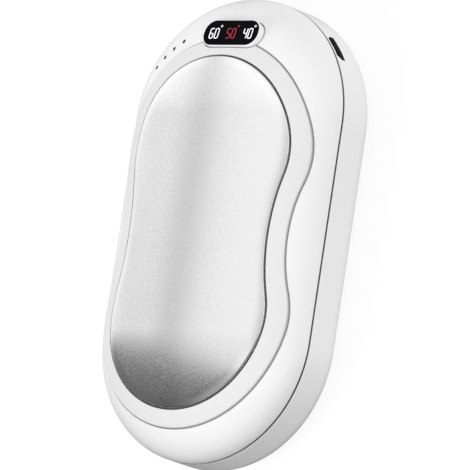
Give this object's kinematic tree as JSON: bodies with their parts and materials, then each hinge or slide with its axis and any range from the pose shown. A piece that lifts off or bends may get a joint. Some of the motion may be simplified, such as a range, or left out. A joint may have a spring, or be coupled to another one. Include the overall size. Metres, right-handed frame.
{
  "type": "rechargeable hand warmer",
  "caption": "Palm-size rechargeable hand warmer: a white pill-shaped housing with waisted aluminium heating plates, a display that presses as the level key, and a charging port.",
  "frame": {"origin": "under the middle of the body, on the plane of the flat rear heating plate that the warmer rests on", "axes": "+Y along the body towards the display end, +X across the body towards the charging port's side, +Z out of the front heating plate"},
  "size_m": [0.064, 0.12, 0.0291],
  "materials": {
    "shell_white": "satin white moulded plastic",
    "plate_aluminium": "fine bead-blasted aluminium",
    "foam_dark": "closed-cell foam",
    "film_amber": "amber film heater",
    "sensor_bead": "epoxy bead",
    "cell_sleeve": "shrink sleeve over a steel can",
    "frame_plastic": "moulded plastic",
    "tab_nickel": "nickel strip",
    "lead_black": "silicone insulation",
    "lead_red": "silicone insulation",
    "lead_white": "white insulation",
    "board_green": "green solder mask",
    "chip_black": "moulded chip package",
    "ferrite_grey": "ferrite block",
    "port_steel": "folded plated sheet",
    "port_plastic": "black moulding",
    "contact_gold": "plated contacts",
    "key_white": "satin white moulded plastic",
    "lens_black": "dark polished display lens",
    "switch_plastic": "black moulding",
    "light_box_white": "white reflector moulding",
    "light_chip": "light-emitting chip",
    "pipe_smoke": "smoked clear moulding",
    "screw_steel": "zinc-plated steel"
  },
  "bodies": {
    "housing": {"front_shell": "shell_white", "rear_shell": "shell_white", "front_heat_plate": "plate_aluminium", "rear_heat_plate": "plate_aluminium", "front_plate_gasket": "foam_dark", "rear_plate_gasket": "foam_dark", "front_heater_film": "film_amber", "rear_heater_film": "film_amber", "front_thermistor": "sensor_bead", "rear_thermistor": "sensor_bead", "right_battery_cell": "cell_sleeve", "left_battery_cell": "cell_sleeve", "inner_frame": "frame_plastic", "battery_tabs": "tab_nickel", "battery_pads": "foam_dark", "battery_lead_black": "lead_black", "battery_lead_red": "lead_red", "front_heater_lead": "lead_white", "rear_heater_lead": "lead_white", "main_board": "board_green", "charge_chip": "chip_black", "boost_inductor": "ferrite_grey", "heater_transistors": "chip_black", "port_shell": "port_steel", "port_tongue": "port_plastic", "port_contacts": "contact_gold", "key_switches": "switch_plastic", "display_board": "board_green", "display_light_box": "light_box_white", "digit_lights": "light_chip", "display_ribbon": "lead_white", "charge_lights": "light_chip", "charge_light_pipe": "pipe_smoke", "shell_screws": "screw_steel", "board_screws": "screw_steel", "display_screws": "screw_steel"},
    "display_key": {"display_key_cap": "key_white", "display_lens": "lens_black", "key_plungers": "switch_plastic"}
  },
  "joints": [
    {"name": "display_key_press", "type": "slide", "parent": "housing", "child": "display_key", "axis": [0, -0.2419, -0.9703], "range_m": [0, 0.0004], "stiffness_N_per_m": 4000}
  ]
}
